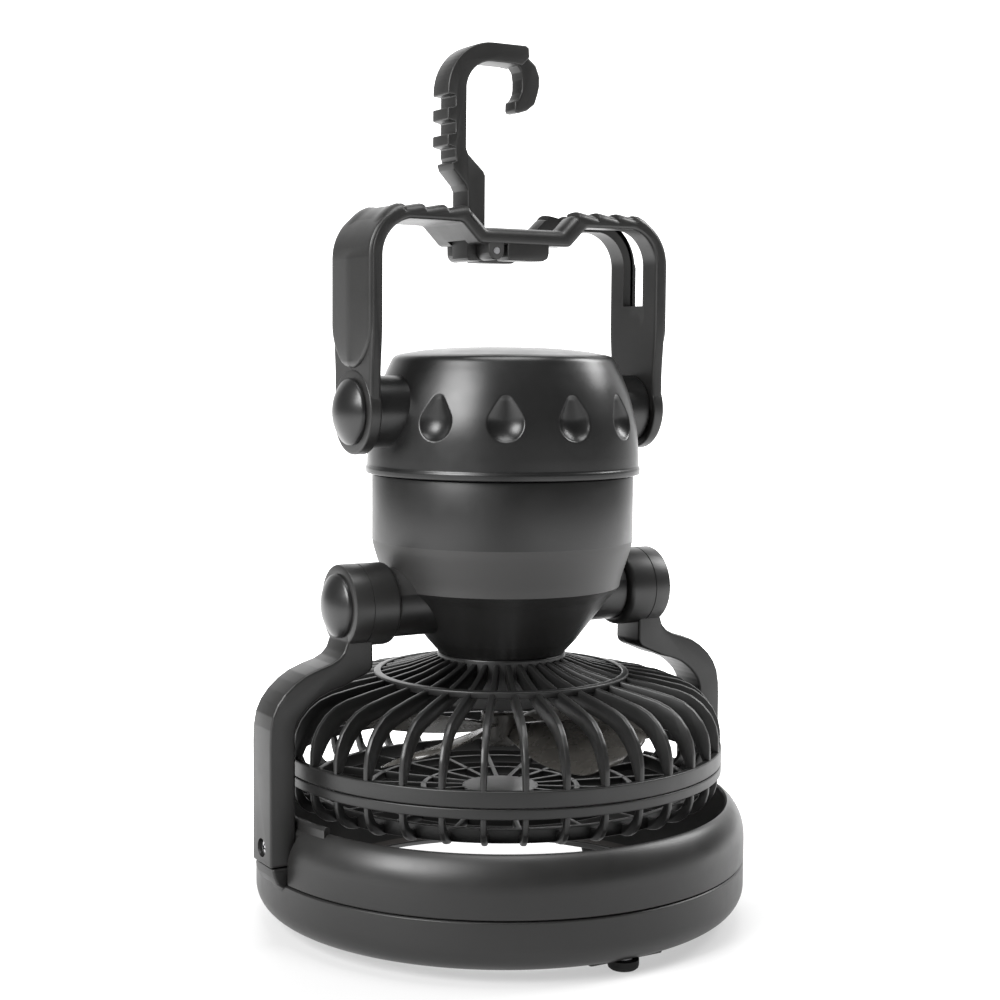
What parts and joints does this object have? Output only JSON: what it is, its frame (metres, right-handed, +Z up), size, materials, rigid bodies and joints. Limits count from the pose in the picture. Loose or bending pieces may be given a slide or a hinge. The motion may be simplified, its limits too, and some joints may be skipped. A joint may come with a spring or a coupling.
{
  "type": "portable camping fan",
  "caption": "Battery camping fan with an LED ring base, a tilting head in a yoke, a caged fan, a swing handle and a fold-out hanging hook.",
  "frame": {"origin": "centre of the ring base on the surface it stands on", "axes": "+Z up along the ring's axis, +X along the two pivot axes, -Y towards the front"},
  "size_m": [0.162, 0.152, 0.266],
  "materials": {
    "black_plastic": "satin moulded ABS with a fine texture",
    "black_trim": "matte moulded plastic",
    "clear_lens": "clear moulded lens",
    "white_board": "white solder mask",
    "green_board": "green solder mask",
    "led_body": "clear epoxy",
    "foot_rubber": "matte rubber",
    "gasket_rubber": "soft rubber",
    "button_rubber": "soft-touch rubber",
    "steel": "plated steel",
    "dark_steel": "black oxide screw",
    "brass_strip": "stamped strip",
    "cell_can": "plain sleeve",
    "smoke_plastic": "smoked translucent plastic"
  },
  "bodies": {
    "base": {"ring_upper_shell": "black_plastic", "ring_lower_shell": "black_plastic", "led_lens": "clear_lens", "led_board": "white_board", "leds": "led_body", "ring_feet": "foot_rubber", "shell_screws": "steel", "yoke_arm_left": "black_plastic", "yoke_arm_right": "black_plastic", "arm_screws": "dark_steel", "yoke_pivot_caps": "black_plastic"},
    "head": {"housing": "black_plastic", "guard_upper": "black_plastic", "guard_lower": "black_plastic", "motor": "steel", "motor_screws": "steel", "contact_board": "green_board", "battery_springs": "steel", "battery_cells": "cell_can", "switch_bezel": "black_trim", "switch_bodies": "black_trim", "cap_gasket": "gasket_rubber", "pivot_washers": "steel", "pivot_screws": "steel"},
    "rotor": {"impeller": "smoke_plastic", "motor_shaft": "steel"},
    "cap": {"battery_cap": "black_plastic", "cap_contact": "brass_strip", "handle_screws": "steel"},
    "handle": {"handle": "black_plastic", "handle_pivot_caps": "black_plastic", "hook_pin": "steel"},
    "hook": {"hook": "black_plastic"},
    "fan_button": {"fan_button": "button_rubber"},
    "light_button": {"light_button": "button_rubber"}
  },
  "joints": [
    {"name": "head_tilt", "type": "hinge", "parent": "base", "child": "head", "pos_m": [0, 0, 0.0985], "axis": [1, 0, 0], "range_deg": [-90, 35]},
    {"name": "cap_twist", "type": "hinge", "parent": "head", "child": "cap", "pos_m": [0, 0, 0.1362], "axis": [0, 0, 1], "range_deg": [0, 25]},
    {"name": "handle_swing", "type": "hinge", "parent": "cap", "child": "handle", "pos_m": [0, 0, 0.1557], "axis": [1, 0, 0], "range_deg": [-35, 90]},
    {"name": "hook_fold", "type": "hinge", "parent": "handle", "child": "hook", "pos_m": [-0.0104, 0, 0.2036], "axis": [0, 1, 0], "range_deg": [0, 85]},
    {"name": "rotor_spin", "type": "hinge", "parent": "head", "child": "rotor", "pos_m": [0, 0, 0.0565], "axis": [0, 0, 1], "continuous": true},
    {"name": "fan_button_push", "type": "slide", "parent": "head", "child": "fan_button", "axis": [0, -1, 0], "range_m": [0, 0.0015], "stiffness_N_per_m": 600, "springref_m": -0.001},
    {"name": "light_button_push", "type": "slide", "parent": "head", "child": "light_button", "axis": [0, -1, 0], "range_m": [0, 0.0015], "stiffness_N_per_m": 600, "springref_m": -0.001}
  ]
}
